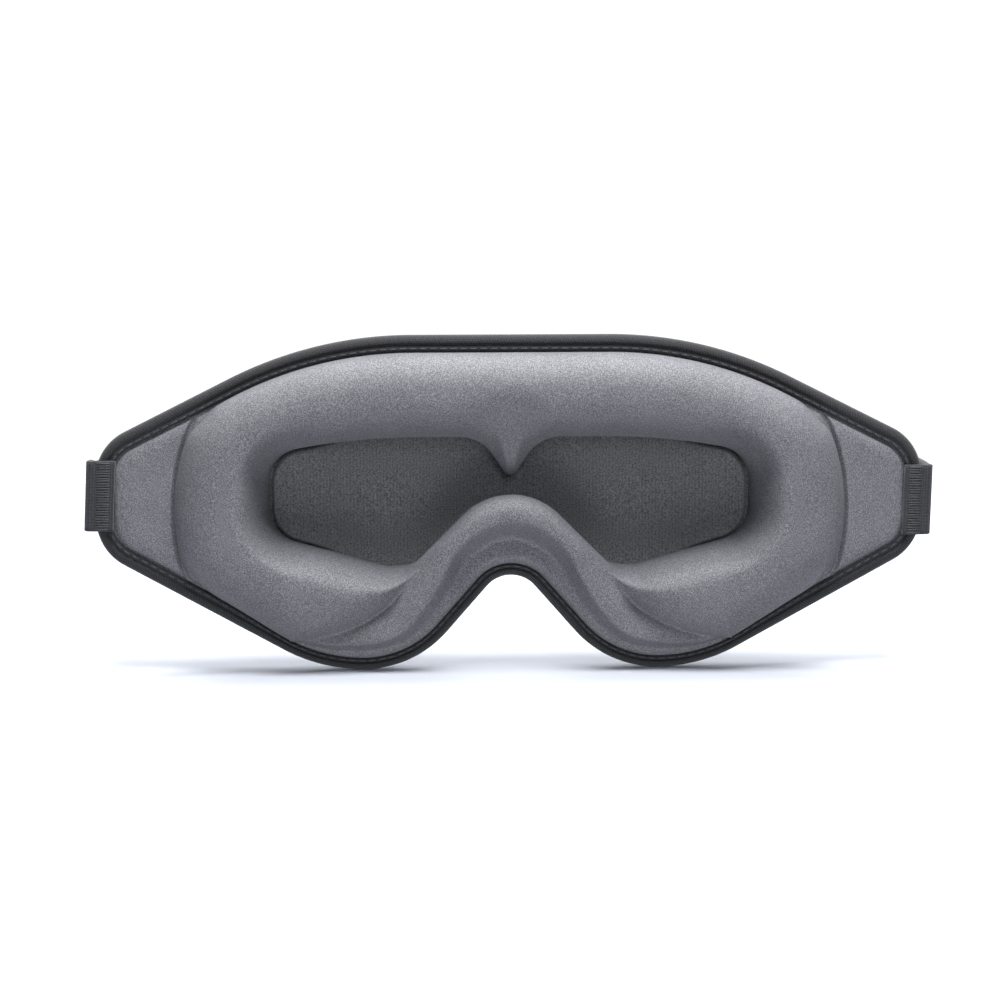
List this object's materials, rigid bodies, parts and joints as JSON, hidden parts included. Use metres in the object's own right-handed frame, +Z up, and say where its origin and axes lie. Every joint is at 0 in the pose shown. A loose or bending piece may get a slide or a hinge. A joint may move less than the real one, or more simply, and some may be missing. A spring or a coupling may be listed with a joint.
{
  "type": "sleep eye mask",
  "caption": "Contoured sleep eye mask: moulded foam pad ring with two eye cavities and a nose roll, satin skin, bound edge, and an adjustable elastic strap with ring and slider.",
  "frame": {"origin": "on the line between the two strap folds at the wing ends, in the middle of the mask's rim: the middle of the place where the wearer's face goes", "axes": "+X along the mask towards its right wing as the face side is seen, +Z up towards the brow, -Y towards the wearer's face, so the front fabric looks along +Y"},
  "size_m": [0.2412, 0.0787, 0.0954],
  "materials": {
    "pad_satin": "brushed satin knit",
    "lining_knit": "matte knit",
    "front_knit": "smooth matte knit",
    "binding_tape": "ribbed elastic tape",
    "strap_elastic": "woven elastic",
    "sewing_thread": "twisted polyester thread",
    "foam": "open-cell polyurethane foam",
    "fitting_plastic": "moulded, fine satin"
  },
  "bodies": {
    "mask": {"front_fabric": "front_knit", "front_foam": "foam", "lining_fabric": "lining_knit", "pad_foam": "foam", "pad_fabric": "pad_satin", "edge_binding": "binding_tape", "edge_stitching": "sewing_thread", "left_strap_tab": "strap_elastic", "right_strap_tab": "strap_elastic", "left_tab_stitching": "sewing_thread", "right_tab_stitching": "sewing_thread"},
    "strap": {"short_strap": "strap_elastic", "short_strap_stitching": "sewing_thread", "strap_ring": "fitting_plastic", "long_strap": "strap_elastic", "strap_return": "strap_elastic"},
    "slider": {"strap_slider": "fitting_plastic", "strap_end_fold": "strap_elastic", "strap_end_stitching": "sewing_thread"}
  },
  "joints": [
    {"name": "strap_swing", "type": "hinge", "parent": "mask", "child": "strap", "pos_m": [0, 0, 0], "axis": [1, 0, 0], "range_deg": [-90, 180]},
    {"name": "slider_slide", "type": "slide", "parent": "strap", "child": "slider", "axis": [-1, 0, 0], "range_m": [0, 0.044], "deforming": ["strap_return"]}
  ]
}
